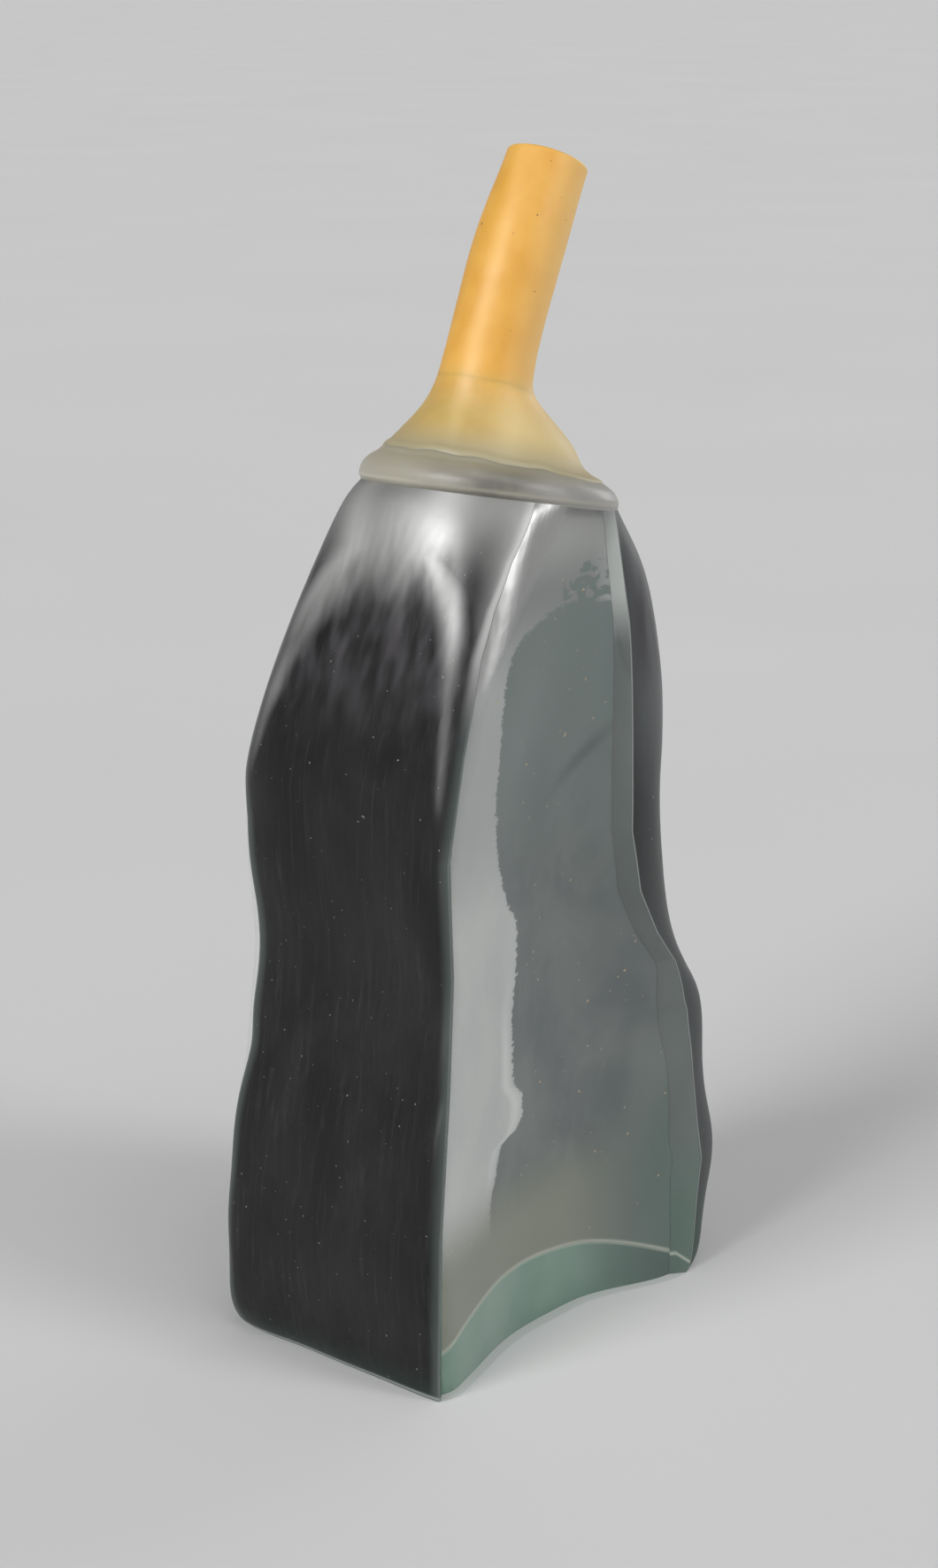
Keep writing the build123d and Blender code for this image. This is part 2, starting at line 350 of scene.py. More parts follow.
def make_lining(material):
    outer = lining_surface(0.0, LINING_RIM_MM)
    inner = lining_surface(LINING_MM, LINING_RIM_MM - LINING_MM)
    place(shell("smoke_lining_glass", outer, inner, ring=True), "smoke_lining", "smoke_grey_glass", material)


# ---------------------------------------------------------------- collar, cone and neck
TURNS = 192  # columns round the tube
TURN_ANGLES = np.linspace(0, math.tau, TURNS, endpoint=False)
STEP = 0.45 * MM  # between cross-sections along the spine
SPINE_START, SPINE_END = 0.12 * MM, 0.02 * MM  # kept clear of the collar's foot and of the mouth
CONE_FOOT = Vector((-1.2, 0, 11.0)) * MM  # from the collar's centre
COLLAR_ROWS, CONE_ROWS, NECK_ROWS = 34, 62, 190
NECK_CROWDING = 1.3  # above 1, the neck's rows crowd towards the mouth
COLLAR_BULGE_MM = 1.5
COLLAR_SINK = 0.25 * MM  # of the collar's first row into the body
COLLAR_DEEPEST, COLLAR_RISE_MM = math.radians(160.0), 2.6  # the wrap runs higher up the cone on this side
CONE_SLIMMEST, CONE_SLIMMING_MM = -0.6, 1.7  # and the cone is slimmer above its foot at this turn, in radians
NECK_FILLET = 8 * MM
LIP_MM = 1.9  # rounding of the mouth's outer edge
CUT_FLATTENING = math.radians(4.0)  # the mouth was cut a little flatter than square to the neck
CUT_REACH = 22 * MM  # of the neck's end that the cut bends
upper_tree, _ = cad_tree("shoulder_collar", "neck_cone", "neck_tube")


def side_of(tilt):
    """The direction square to a spine that leans by tilt, on its +X side."""
    return Vector((math.cos(tilt), 0, -math.sin(tilt)))


def spine():
    """Centres and tilts of even cross-sections from the collar's foot to the mouth, and its parts' ends."""
    root_x = neck_lo.x + NECK_RADIUS * math.cos(NECK_ROOT_TILT)
    root_z = neck_lo.z + NECK_RADIUS * math.sin(NECK_ROOT_TILT)
    keys = [collar_centre, collar_centre + CONE_FOOT, Vector((root_x, 0, root_z)), mouth_centre]
    tilts = [COLLAR_TILT, CONE_TILT, NECK_ROOT_TILT, MOUTH_TILT]
    lengths = [0.0]
    for a, b in zip(keys, keys[1:]):
        lengths.append(lengths[-1] + (b - a).length)
    count = int(lengths[-1] / STEP)
    at = np.linspace(SPINE_START, lengths[-1] - SPINE_END, count)
    x = np.interp(at, lengths, [k.x for k in keys])
    z = np.interp(at, lengths, [k.z for k in keys])
    tilt = np.interp(at, lengths, tilts)
    for _ in range(3):  # each round brings the centres nearer to the middle
        for i in range(count):
            side = side_of(tilt[i])
            guess = Vector((x[i], 0, z[i]))
            right = upper_tree.ray_cast(guess + side * REACH, -side)[0]
            left = upper_tree.ray_cast(guess - side * REACH, side)[0]
            if right is not None and left is not None:
                centre = (right + left) / 2
                x[i], z[i] = centre.x, centre.z
    return at, x, z, tilt, lengths


def tube_tables():
    """Points of the outer and inner side for each cross-section and turn, and where the spine's parts end."""
    at, x, z, tilt, lengths = spine()
    outer, inner = np.zeros((len(at), TURNS, 3)), np.zeros((len(at), TURNS, 3))
    for i in range(len(at)):
        side = side_of(tilt[i])
        centre = Vector((x[i], 0, z[i]))
        for j, turn in enumerate(TURN_ANGLES):
            out = side * math.cos(turn) + Vector((0, math.sin(turn), 0))
            far = upper_tree.ray_cast(centre + out * REACH, -out)[0]
            near = upper_tree.ray_cast(centre, out)[0]
            outer[i, j] = far if far is not None else outer[i - 1, j]
            inner[i, j] = near if near is not None else inner[i - 1, j]
    return at, outer, inner, lengths


def resample(at, table, wanted):
    """Rows of a table at the wanted distances along the spine, which has a value for each row and column."""
    position = np.interp(wanted, at, np.arange(len(at)))
    low = np.clip(position.astype(int), 0, len(at) - 2)
    share = (position - low)[..., None]
    column = np.arange(table.shape[1])[None, :]
    return table[low, column] * (1 - share) + table[low + 1, column] * share


def soften(table, at, middle):
    """Rounds the hollow corner between cone and neck into a soft curve."""
    reach = int(NECK_FILLET / STEP)
    weights = bell(np.arange(-reach, reach + 1), 0, reach / 2)
    weights /= weights.sum()
    padded = np.concatenate([table[:1]] * reach + [table] + [table[-1:]] * reach)
    smooth = sum(weight * padded[i:i + len(table)] for i, weight in enumerate(weights))
    share = np.exp(-(((at - middle) / (NECK_FILLET * 1.2)) ** 4))[:, None, None]
    return table * (1 - share) + smooth * share


def ring_noise(scale, seed):
    """One smooth value in -1..1 for each column round the tube."""
    spots = [Vector((math.cos(t) * scale, math.sin(t) * scale, seed)) for t in TURN_ANGLES]
    return np.array([noise.noise(spot) for spot in spots])


def collar_height(from_foot, from_top):
    """The wrap's bulge, its soft foot and its raised upper edge, in mm."""
    height = COLLAR_BULGE_MM * np.sin(math.pi * np.clip(from_foot / (from_foot + from_top), 0, 1))
    height += 0.16 * bell(from_foot, 1.8, 1.1) - 0.5 * bell(from_foot, 0.0, 1.2)
    return height + 0.22 * bell(from_top, 0.0, 1.1)


def cone_height(from_foot):
    """The cone's uneven lip over the collar, and the hollow above it, in mm."""
    lip = 0.55 + 0.3 * ring_noise(2.2, 12.0)[None, :]
    lip_at_border = lip * math.exp(-0.83)
    hollow = np.clip(np.cos(TURN_ANGLES - CONE_SLIMMEST), 0, 1)[None, :] * bell(from_foot, 6.5, 4.5)
    border = (0.22 - lip_at_border) * bell(from_foot, 0.0, 0.5)
    return lip * bell(from_foot, 1.0, 1.1) + border - CONE_SLIMMING_MM * hollow


def mouth_height(from_top):
    """The mouth's outer edge, melted round, in mm."""
    into_lip = np.clip(1 - from_top / LIP_MM, 0, 1)
    return -LIP_MM * (1 - np.sqrt(1 - 0.98 * into_lip**2))


def cut_mouth(grid):
    """Bends the neck's end so that the mouth is cut a little flatter than square."""
    axis = np.array(mouth_axis)
    from_mouth = grid - np.array(mouth_centre)
    across = from_mouth @ np.array(side_of(MOUTH_TILT))
    share = np.clip(1 + (from_mouth @ axis) / CUT_REACH, 0, 1) ** 2
    return grid + (share * across * math.tan(CUT_FLATTENING))[..., None] * axis


def make_upper(materials):
    """The collar, the cone and the neck, which meet at uneven borders."""
    at, outer, inner, lengths = tube_tables()
    outer = soften(outer, at, lengths[2])
    rise = COLLAR_RISE_MM * np.cos(TURN_ANGLES - COLLAR_DEEPEST)
    collar_end = lengths[1] + (rise + 1.5 * ring_noise(1.3, 4.0) + 0.8 * ring_noise(4.0, 9.0)) * MM
    cone_end = lengths[2] + (0.9 * ring_noise(1.1, 2.0) + 0.3 * ring_noise(5.0, 6.0)) * MM
    foot, end = np.full(TURNS, at[0]), np.full(TURNS, at[-1])
    spans = (
        ("shoulder_collar", "grey_beige_satin_glass", foot, collar_end, COLLAR_ROWS),
        ("neck_cone", "straw_satin_glass", collar_end, cone_end, CONE_ROWS),
        ("neck_tube", "amber_opal_glass", cone_end, end, NECK_ROWS),
    )
    for node, slot, start, stop, rows in spans:
        share = np.linspace(0, 1, rows)[:, None]
        if node == "neck_tube":
            share = 1 - (1 - share) ** NECK_CROWDING
        wanted = start[None, :] * (1 - share) + stop[None, :] * share
        from_foot = (wanted - start[None, :]) / MM
        from_top = (stop[None, :] - wanted) / MM
        skin, hollow = resample(at, outer, wanted), resample(at, inner, wanted)
        normal = grid_normals(skin, ring=True)
        height = 0.12 * noise_grid(skin, 14 * MM, (1, 1, 1), 2.0)
        height += 0.03 * noise_grid(skin, 3.2 * MM, (1, 1, 1), 7.0)
        if node == "shoulder_collar":
            height = height * np.clip(from_foot / 2.0, 0, 1) + collar_height(from_foot, from_top)
        elif node == "neck_cone":
            height += cone_height(from_foot)
        else:
            height += mouth_height(from_top)
        skin = skin + normal * (height * MM)[..., None]
        if node == "shoulder_collar":
            skin[0] -= np.array([math.sin(COLLAR_TILT), 0, math.cos(COLLAR_TILT)]) * COLLAR_SINK
        if node == "neck_tube":
            skin, hollow = cut_mouth(skin), cut_mouth(hollow)
        place(shell(node + "_glass", skin, hollow, ring=True), node, slot, materials[node])


# ---------------------------------------------------------------- node materials
class Paint:
    """A material's node tree, with short calls for the nodes that the glasses use."""

    def __init__(self, name):
        self.material = bpy.data.materials.new(name)
        self.material.use_nodes = True
        self.nodes = self.material.node_tree.nodes
        self.links = self.material.node_tree.links
        self.nodes.clear()
        self.output = self.nodes.new("ShaderNodeOutputMaterial")
        place_ = self.nodes.new("ShaderNodeTexCoord").outputs["Object"]
        scaled = self.node("ShaderNodeVectorMath", {0: place_, 3: 1 / MM}, operation="SCALE")
        self.mm = scaled.outputs[0]
        split = self.node("ShaderNodeSeparateXYZ", {0: self.mm})
        self.x, self.y, self.z = split.outputs

    def node(self, kind, inputs=None, **settings):
        made = self.nodes.new(kind)
        for key, value in settings.items():
            setattr(made, key, value)
        for key, value in (inputs or {}).items():
            if isinstance(value, bpy.types.NodeSocket):
                self.links.new(value, made.inputs[key])
            else:
                made.inputs[key].default_value = value
        return made

    def math(self, operation, a, b=0.0, clamp=False):
        return self.node("ShaderNodeMath", {0: a, 1: b}, operation=operation, use_clamp=clamp).outputs[0]

    def step(self, value, low, high, to_low=0.0, to_high=1.0):
        """A smooth step from to_low to to_high as value goes from low to high."""
        inputs = {0: value, 1: low, 2: high, 3: to_low, 4: to_high}
        return self.node("ShaderNodeMapRange", inputs, interpolation_type="SMOOTHSTEP").outputs[0]

    def add(self, a, b):
        return self.math("ADD", a, b)

    def less(self, a, b):
        return self.math("SUBTRACT", a, b)

    def larger(self, a, b):
        return self.math("MAXIMUM", a, b)

    def times(self, first, *others):
        for other in others:
            first = self.math("MULTIPLY", first, other)
        return first

    def line(self, value, slope, at_zero):
        return self.add(self.times(value, slope), at_zero)

    def band(self, value, middle, width):
        """1 at the middle of a soft stripe, 0 from width away."""
        return self.step(self.math("ABSOLUTE", self.less(value, middle)), width, 0.0)

    def attribute(self, name):
        return self.node("ShaderNodeAttribute", attribute_name=name).outputs["Fac"]

    def noise(self, size_mm, detail=2.0, rough=0.5, stretch=(1, 1, 1), distortion=0.0):
        """Noise of about 0.2 to 0.8, with features of size_mm times the stretch along each axis."""
        scales = tuple(1 / (size_mm * s) for s in stretch)
        where = self.node("ShaderNodeVectorMath", {0: self.mm, 1: scales}, operation="MULTIPLY").outputs[0]
        inputs = {"Vector": where, "Scale": 1.0, "Detail": detail, "Roughness": rough}
        return self.node("ShaderNodeTexNoise", {**inputs, "Distortion": distortion}).outputs["Fac"]

    def swing(self, field, amount):
        """A noise field made to swing to both sides of 0."""
        return self.times(self.less(field, 0.5), amount)

    def curve(self, value, points):
        """Straight lines through (value, result) points."""
        lows = [p[0] for p in points]
        results = [p[1] for p in points]
        low, high, bottom, top = min(lows), max(lows), min(results), max(results)
        share = self.node("ShaderNodeMapRange", {0: value, 1: low, 2: high}).outputs[0]
        made = self.node("ShaderNodeFloatCurve", {1: share})
        line = made.mapping.curves[0]
        while len(line.points) < len(points):
            line.points.new(0.5, 0.5)
        for spot, (at, result) in zip(line.points, sorted(points)):
            spot.location = ((at - low) / (high - low), (result - bottom) / (top - bottom))
            spot.handle_type = "AUTO_CLAMPED"
        made.mapping.update()
        return self.node("ShaderNodeMapRange", {0: made.outputs[0], 3: bottom, 4: top}).outputs[0]

    def mix(self, share, a, b):
        """Colour a where share is 0 and b where it is 1."""
        made = self.node("ShaderNodeMix", {0: share, 6: a, 7: b}, data_type="RGBA")
        return made.outputs[2]

    def mottle(self, cloud, a, b):
        """Two tones in soft patches."""
        return self.mix(self.step(cloud, 0.3, 0.7), a, b)

    def mix_shaders(self, share, a, b):
        return self.node("ShaderNodeMixShader", {0: share, 1: a, 2: b}).outputs[0]

    def bump(self, height, strength, distance_mm):
        inputs = {"Height": height, "Strength": strength, "Distance": distance_mm * MM}
        return self.node("ShaderNodeBump", inputs).outputs[0]

    def glass(self, **inputs):
        made = self.node("ShaderNodeBsdfPrincipled", {k.replace("_", " "): v for k, v in inputs.items()})
        return made.outputs[0]

    def finish(self, shader):
        self.links.new(shader, self.output.inputs["Surface"])
        return self.material


def rgb(red, green, blue):
    """A colour given as it looks on screen, 0 to 255, as the renderer's linear one."""
    return tuple((c / 255) ** 2.2 for c in (red, green, blue)) + (1.0,)


BEAD_HIGHLIGHT_TONE = rgb(200, 202, 188)  # a painted highlight: the pale line along the foot's upper edge
TO_SIDE_X, TO_SIDE_Y = 0.63, 0.775  # painted light and highlights on the collar, cone and neck change along this level direction


def shoulder_lustre_and_sheen(p, cloud, from_joint):
    """How silvery the shoulder is, and how bright that silver is. The silver is partly a real metallic lustre
    and partly painted sheen, laid where the shoulder faces the overhead lamps.

    It starts above an arch that is highest near the middle of the narrow side. A dark trough of painted shade
    cuts it beside the joint, a bright crest of painted highlight runs beyond the trough, and the joint's own
    edge carries a painted highlight too.
    """
    from_crown = p.math("ABSOLUTE", p.add(p.y, 8.0))
    fall = p.times(p.math("POWER", from_crown, 3.0), 4.6e-4)
    above_arch = p.add(p.less(p.z, 281.0), fall)
    above_arch = p.less(above_arch, p.step(p.x, -10.0, 30.0, 0.0, 34.0))
    fingers = p.swing(p.noise(7.0, 1.5, 0.5, (1, 1, 12.0)), 16.0)
    uneven = p.add(p.swing(cloud, 10.0), fingers)
    lustre_and_sheen = p.step(p.add(above_arch, uneven), -18.0, 14.0)

    left_half = p.step(p.x, 20.0, -5.0)
    up = p.math("MULTIPLY", p.less(p.z, 235.0), 1 / 50.0, clamp=True)  # 0 at the waist, 1 at the shoulder
    # Painted highlight: a bright crest whose track moves away from the joint as it rises up the shoulder.
    crest_at = p.line(p.math("POWER", up, 3.0), 19.0, 9.5)
    off_crest = p.math("ABSOLUTE", p.less(from_joint, crest_at))
    crest_highlight = p.step(p.math("DIVIDE", off_crest, p.line(up, 7.0, 4.5)), 1.0, 0.0)
    crest_highlight = p.times(crest_highlight, p.step(p.z, 234.0, 280.0), left_half)

    # Painted shade: a dark trough beside the joint.
    off_trough = p.math("ABSOLUTE", p.less(from_joint, p.line(up, 9.5, 2.5)))
    trough_shade = p.step(p.math("DIVIDE", off_trough, p.line(up, 10.0, 8.0)), 1.0, 0.0)
    trough_shade = p.times(trough_shade, p.step(p.z, 306.0, 274.0, 0.35, 1.0))

    lustre_and_sheen = p.times(lustre_and_sheen, p.less(1.0, p.times(trough_shade, 0.94)))
    lustre_and_sheen = p.larger(lustre_and_sheen, p.times(crest_highlight, 0.8))
    # Painted highlight along the joint's own edge.
    joint_edge_highlight = p.times(p.step(from_joint, 4.5, 1.0, 0.0, 0.9), p.step(p.z, 228.0, 266.0), left_half)
    return p.larger(lustre_and_sheen, joint_edge_highlight), p.larger(crest_highlight, joint_edge_highlight)


def casing_glass(name):
    """Smoke-black glass, etched to a satin skin with a mould's grain, that turns silvery up the shoulder,
    partly as a metallic lustre and partly as painted sheen; painted highlights and painted shade lie over it.
    """
    p = Paint(name)
    from_joint = p.attribute("from_joint")
    grain = p.noise(5.0, 3.0, 0.6, (1, 0.45, 9.0), 0.8)
    arcs = p.noise(4.0, 2.0, 0.5, (1, 1.0, 3.2), 2.2)
    cloud = p.noise(34.0, 3.0, 0.55, (1, 1, 1.6), 0.4)
    tone = p.mix(p.step(cloud, 0.35, 0.7), rgb(20, 20, 21), rgb(34, 34, 34))
    tone = p.mix(p.step(grain, 0.5, 0.75, 0.0, 0.45), tone, rgb(52, 52, 52))
    tone = p.mix(p.step(arcs, 0.5, 0.7, 0.0, 0.35), tone, rgb(14, 14, 15))

    # Painted sheen: the right casing is painted a lighter grey, and lighter again toward the shoulder, where
    # its rounded side catches the lamps.
    right_half = p.step(p.x, 20.0, 50.0)
    tone = p.mix(right_half, tone, rgb(73, 76, 77))
    tone = p.mix(p.times(right_half, p.step(p.z, 180.0, 235.0)), tone, rgb(98, 101, 102))
    specks = p.noise(1.15, 0.0)
    tone = p.mix(p.step(specks, 0.85, 0.87, 0.0, 0.5), tone, rgb(170, 170, 165))

    tone = p.mix(p.step(p.z, 12.0, 0.0, 0.0, 0.45), tone, rgb(38, 58, 52))
    foot_corner = p.times(p.step(p.z, 34.0, 16.0), p.step(p.x, 40.0, 60.0))
    tone = p.mix(foot_corner, tone, rgb(60, 76, 71))
    near_joint = p.times(p.step(from_joint, 5.0, 0.0), p.step(p.z, 290.0, 230.0))
    near_joint = p.times(near_joint, p.step(p.x, 10.0, -10.0, 0.0, 0.7))
    tone = p.mix(near_joint, tone, rgb(84, 92, 90))
    # Painted sheen: faint lighter streaks in a band round the shoulder carry the shoulder's sheen a little
    # below the silver.
    shoulder_streaks = p.step(p.noise(7.0, 1.5, 0.5, (1, 1, 12.0)), 0.3, 0.75)
    tone = p.mix(p.times(shoulder_streaks, p.band(p.z, 256.0, 38.0)), tone, rgb(68, 66, 69))

    lustre_and_sheen, crest_highlight = shoulder_lustre_and_sheen(p, cloud, from_joint)
    # The silver's tone, lighter along the painted highlight of the crest.
    tone = p.mix(lustre_and_sheen, tone, p.mix(crest_highlight, rgb(170, 170, 169), rgb(197, 197, 196)))
    # Painted highlight: a pale hairline along the casing's joint with the window.
    seam_highlight = p.times(p.step(from_joint, 0.9, 0.3), p.step(p.x, -10.0, 10.0, 0.15, 0.7))
    tone = p.mix(seam_highlight, tone, rgb(164, 170, 167))
    # Painted highlight: a pale line along the bottom edge, where it catches light from the floor.
    tone = p.mix(p.band(p.z, 1.0, 1.3), tone, rgb(140, 147, 144))

    rough = p.add(p.step(cloud, 0.3, 0.75, 0.34, 0.42), p.times(lustre_and_sheen, 0.16))
    skin = p.bump(p.noise(0.6, 2.0, 0.6), 0.35, 0.06)
    surface = dict(Metallic=p.times(lustre_and_sheen, 0.8), Roughness=rough, IOR=1.5, Specular_IOR_Level=0.32)
    return p.finish(p.glass(Base_Color=tone, Normal=skin, **surface))


def rim_glass(name):
    """The casing's edge seen through the window: as grey as the film beside it, with the foot's pale line as
    a painted highlight.
    """
    p = Paint(name)
    cloud = p.noise(30.0, 3.0, 0.55, (1, 1, 1.4), 0.5)
    tone = p.mottle(cloud, rgb(96, 103, 102), rgb(107, 113, 111))
    tone = p.mix(p.step(p.z, 246.0, 268.0), tone, rgb(208, 211, 209))
    tone = p.mix(p.step(p.z, 70.0, 20.0), tone, rgb(88, 107, 99))
    inward = p.math("MULTIPLY", p.less(73.0, p.x), 1 / 7.5, clamp=True)
    above_bead = p.less(p.z, p.line(inward, 7.1, 0.9))
    # Painted highlight: the pale line along the foot's arched top, seen at the casing's edge.
    bead_highlight = p.times(p.band(above_bead, 0.0, 1.3), p.step(p.x, 40.0, 60.0, 0.0, 0.6))
    tone = p.mix(bead_highlight, tone, BEAD_HIGHLIGHT_TONE)
    return p.finish(p.glass(Base_Color=tone, Roughness=0.5, IOR=1.45))


def window_glass(name):
    """Clear polished glass: a Fresnel gloss over straight-through transparency, with a metallic satin strip
    near the left joint as a painted highlight.
    """
    p = Paint(name)
    clear = p.node("ShaderNodeBsdfTransparent", {0: (0.975, 0.985, 0.98, 1)}).outputs[0]
    ripple = p.bump(p.noise(22.0, 1.0, 0.4), 0.25, 0.5)
    gloss = p.node("ShaderNodeBsdfGlossy", {"Roughness": 0.035, "Normal": ripple}).outputs[0]
    fresnel = p.node("ShaderNodeFresnel", {"IOR": 1.5, "Normal": ripple}).outputs[0]
    front = p.less(1.0, p.node("ShaderNodeNewGeometry").outputs["Backfacing"])
    pane = p.mix_shaders(p.times(fresnel, front), clear, gloss)

    # Painted highlight: a metallic satin strip near the left joint's upper end stands in for a bright streak
    # of reflected light.
    reach = p.step(p.z, 225.0, 290.0, 1.5, 14.0)
    near_joint = p.step(p.less(p.attribute("from_joint"), reach), 2.0, -3.0)
    highlight_strip = p.times(near_joint, p.step(p.z, 222.0, 255.0), p.step(p.x, 8.0, -4.0, 0.15, 0.75), front)
    satin = p.glass(Base_Color=rgb(177, 177, 176), Metallic=0.85, Roughness=0.31)
    return p.finish(p.mix_shaders(highlight_strip, pane, satin))


def above_foot(p):
    """Height above the foot's arched top, in mm."""
    across = p.less(p.x, ARCH_X_MM)
    up = p.add(p.z, ARCH_RADIUS_MM - ARCH_TOP_MM)
    squares = p.add(p.times(across, across), p.times(up, up))
    return p.less(p.math("SQRT", squares), ARCH_RADIUS_MM)


FILM_EDGE = [  # (height, how far left the film reaches), in mm
    (40, -33.0),
    (56, -33.5),
    (63, -31.0),
    (76, -25.5),
    (79, -15.0),
    (87, -11.5),
    (99, -19.0),
    (122, -20.0),
    (135, -17.5),
    (151, -17.0),
    (165, -24.0),
    (192, -33.0),
    (214, -35.0),
    (235, -34.5),
    (257, -26.5),
    (268, -8.0),
    (274, 8.0),
]


def film_share(p):
    """1 where the grey film covers the front, 0 in the paler streak at its left and above its torn top."""
    feather = p.noise(3.4, 4.0, 0.7, (1.0, 1.0, 0.5), 0.6)
    tips = p.noise(1.5, 3.0, 0.7, (1.8, 1.0, 0.5), 0.8)
    ragged = p.add(p.swing(feather, 7.5), p.swing(tips, 3.0))
    from_edge = p.less(p.add(p.x, ragged), p.curve(p.z, FILM_EDGE))
    from_middle = p.less(p.x, 8.0)
    sag = p.times(from_middle, from_middle, 0.009)
    height = p.add(p.add(p.z, ragged), sag)
    film = p.times(p.step(from_edge, -0.5, 0.6), p.step(height, 267.0, 265.0))
    islands = p.step(p.noise(7.5, 2.0, 0.5, (1.3, 1.3, 0.7), 0.7), 0.47, 0.50)
    near_top = p.times(p.band(p.x, 16.0, 20.0), p.band(p.z, 269.0, 13.0))
    return p.larger(film, p.times(islands, p.step(near_top, 0.1, 0.2)))


def lining_glass(name):
    """The smoky inner bubble seen through the windows: a torn grey film with a paler streak beside it, where
    the bare glass is painted pale as light shining through it.
    """
    p = Paint(name)
    low = p.step(p.z, 70.0, 40.0)
    cloud = p.noise(30.0, 4.0, 0.6, (1, 1, 1.4), 0.5)

    grey = p.mottle(cloud, rgb(94, 100, 101), rgb(114, 119, 118))
    grey = p.mix(p.step(p.z, 150.0, 250.0), grey, rgb(110, 121, 119))
    lower_right = p.times(p.step(p.x, 20.0, 70.0), p.step(p.z, 110.0, 40.0))
    grey = p.mix(lower_right, grey, rgb(92, 108, 102))
    # A darker diagonal line across the film.
    above_diagonal = p.less(p.less(p.z, 195.0), p.times(p.add(p.x, 6.0), 0.68))
    diagonal_line = p.times(p.band(above_diagonal, 0.0, 5.0), p.band(p.x, 16.0, 24.0))
    grey = p.mix(p.times(diagonal_line, 0.5), grey, rgb(72, 78, 78))
    grey = p.mix(p.times(low, p.step(p.x, 58.0, 8.0)), grey, rgb(132, 135, 121))

    # Painted light: the bare glass beside and above the film is painted pale, as light shining through it,
    # with a brighter upright stripe inside.
    pale = p.mottle(cloud, rgb(188, 190, 189), rgb(198, 199, 197))
    from_film = p.less(p.x, p.curve(p.z, FILM_EDGE))
    streak = p.times(p.band(from_film, -5.0, 5.0), p.band(p.z, 98.0, 52.0))
    pale = p.mix(p.times(streak, 0.8), pale, rgb(222, 223, 221))
    pale = p.mix(p.step(p.z, 160.0, 200.0), pale, rgb(172, 174, 173))
    upper = p.mix(p.step(p.z, 268.0, 292.0), rgb(126, 129, 128), rgb(162, 162, 160))
    upper = p.mix(p.step(p.x, 16.0, 34.0), upper, rgb(166, 168, 167))
    pale = p.mix(p.step(p.z, 240.0, 275.0), pale, upper)
    pale = p.mix(low, pale, rgb(130, 133, 120))

    tone = p.mix(film_share(p), pale, grey)
    specks = p.step(p.noise(1.5, 0.0), 0.83, 0.85)
    tone = p.mix(p.times(specks, 0.8), tone, rgb(196, 170, 135))
    front = p.step(p.y, -12.0, -18.0)
    tone = p.mix(front, grey, tone)
    # Painted highlight: the pale line along the foot's arched top.
    tone = p.mix(p.times(p.band(above_foot(p), 0.2, 1.5), 0.6), tone, BEAD_HIGHLIGHT_TONE)
    return p.finish(p.glass(Base_Color=tone, Roughness=0.5, IOR=1.45))


def foot_glass(name):
    """Thick sea-green glass under the hollow, painted lighter on its left and darker on its right as painted
    light and shade, with a pale bead along its upper edge as a painted highlight.
    """
    p = Paint(name)
    tone = p.mottle(p.noise(22.0, 3.0, 0.5), rgb(114, 144, 131), rgb(127, 153, 140))
    # Painted light: lighter on the left, where light comes through the glass.
    tone = p.mix(p.step(p.x, -30.0, -65.0, 0.0, 0.5), tone, rgb(122, 148, 134))
    # Painted shade: darker on the right.
    tone = p.mix(p.step(p.x, 14.0, 60.0), tone, rgb(84, 100, 95))
    # Painted highlight: the pale line along the foot's arched top.
    tone = p.mix(p.times(p.band(above_foot(p), 0.2, 1.3), 0.6), tone, BEAD_HIGHLIGHT_TONE)
    inside = dict(Subsurface_Weight=0.25, Subsurface_Radius=(0.006, 0.008, 0.007))
    return p.finish(p.glass(Base_Color=tone, Roughness=0.25, IOR=1.45, **inside))


def satin_glass(name, tone_of, radius, weight, smoothest):
    """Etched opal glass: a soft skin, and light carried a little way inside."""
    p = Paint(name)
    skin = p.bump(p.noise(0.7, 2.0, 0.6), 0.12, 0.07)
    rough = p.step(p.noise(9.0, 3.0), 0.3, 0.7, smoothest, smoothest + 0.1)
    surface = dict(Roughness=rough, Specular_IOR_Level=0.8, Normal=skin)
    inside = dict(Subsurface_Weight=weight, Subsurface_Radius=radius, Subsurface_Scale=1.0)
    return p.finish(p.glass(Base_Color=tone_of(p), **surface, **inside))


def above_plane(p, x, z, tilt):
    """Height in mm above a plane through (x, z) that leans towards +X."""
    rise = p.times(p.less(p.z, z), math.cos(tilt))
    run = p.times(p.less(p.x, x), math.sin(tilt))
    return p.add(rise, run)


def to_side(p, x):
    return p.less(p.times(x, TO_SIDE_X), p.times(p.y, TO_SIDE_Y))


def collar_tone(p):
    tone = p.mottle(p.noise(16.0, 3.0, 0.55), rgb(106, 104, 97), rgb(132, 129, 119))
    side = to_side(p, p.x)
    # Painted sheen: both flanks along the level direction are painted lighter.
    tone = p.mix(p.step(side, 0.0, -24.0), tone, rgb(162, 158, 144))
    tone = p.mix(p.step(side, 14.0, 34.0), tone, rgb(150, 149, 145))
    above = above_plane(p, 12.0, 298.0, COLLAR_TILT)
    tone = p.mix(p.step(above, 5.0, 12.0, 0.0, 0.7), tone, rgb(164, 156, 130))
    # Painted highlight: a cream line just above the collar's foot.
    tone = p.mix(p.times(p.band(above, 1.6, 1.3), 0.3), tone, rgb(196, 192, 176))
    # Painted shade: a thin dark line in the crease at the collar's foot.
    return p.mix(p.times(p.band(above, 0.1, 0.7), 0.15), tone, rgb(104, 99, 84))


ROOT_X_MM, ROOT_Z_MM = 9.2, 336.5  # where the neck starts from the cone
NECK_LEAN = 0.42  # how far the neck's middle goes towards +X as it rises


